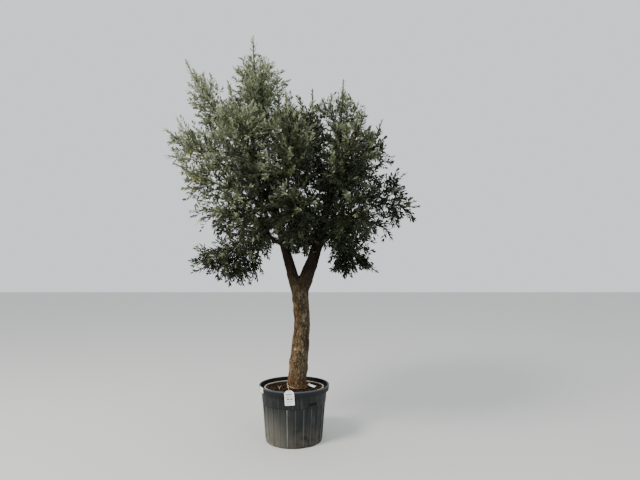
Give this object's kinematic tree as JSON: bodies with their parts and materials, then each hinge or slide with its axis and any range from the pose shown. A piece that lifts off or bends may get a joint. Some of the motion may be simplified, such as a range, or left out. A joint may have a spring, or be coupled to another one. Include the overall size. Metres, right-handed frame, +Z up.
{
  "type": "potted olive tree",
  "caption": "Mature olive tree with a forked trunk and an open, uneven head of narrow grey-green leaves, standing in a round black nursery container with soil and a hang tag.",
  "frame": {"origin": "middle of the container's flat underside, on the ground it stands on", "axes": "+Z up, +Y away from the viewer of the picture, +X to that viewer's right"},
  "size_m": [2.3069, 1.9416, 3.6901],
  "materials": {
    "pot": "weathered black plastic, dusty below",
    "soil": "loose potting mix with bits of bark",
    "bark": "grey-brown bark with upright furrows",
    "foliage": "leathery leaves, grey-green above and silvery below",
    "hose": "sun-bleached tube",
    "label": "smooth white label stock",
    "string": "thin cream string"
  },
  "bodies": {
    "root": {"pot": "pot", "soil": "soil", "drip_ring": "hose", "hang_tag": "label", "tag_string": "string", "rim_label": "label", "soil_label": "label", "trunk": "bark", "bough_left": "bark", "bough_right": "bark", "bough_left_high": "bark", "bough_left_far": "bark", "bough_left_middle": "bark", "bough_left_low": "bark", "bough_left_skirt": "bark", "bough_middle_top": "bark", "bough_right_high": "bark", "bough_right_far": "bark", "bough_right_low": "bark", "bough_right_skirt": "bark", "bough_front_top": "bark", "bough_front_left": "bark", "bough_front_right": "bark", "bough_front_low": "bark", "bough_front_low_left": "bark", "bough_front_low_right": "bark", "bough_back_top": "bark", "bough_back_left": "bark", "bough_back_right": "bark", "bough_back_low": "bark", "bough_back_low_left": "bark", "bough_back_low_right": "bark", "foliage_top": "foliage", "foliage_left_high": "foliage", "foliage_left_far": "foliage", "foliage_left_middle": "foliage", "foliage_left_low": "foliage", "foliage_left_skirt": "foliage", "foliage_middle_top": "foliage", "foliage_right_top": "foliage", "foliage_right_high": "foliage", "foliage_right_far": "foliage", "foliage_right_low": "foliage", "foliage_right_skirt": "foliage", "foliage_front_top": "foliage", "foliage_front_left": "foliage", "foliage_front_right": "foliage", "foliage_front_low": "foliage", "foliage_front_low_left": "foliage", "foliage_front_low_right": "foliage", "foliage_back_top": "foliage", "foliage_back_left": "foliage", "foliage_back_right": "foliage", "foliage_back_low": "foliage", "foliage_back_low_left": "foliage", "foliage_back_low_right": "foliage"}
  },
  "joints": []
}
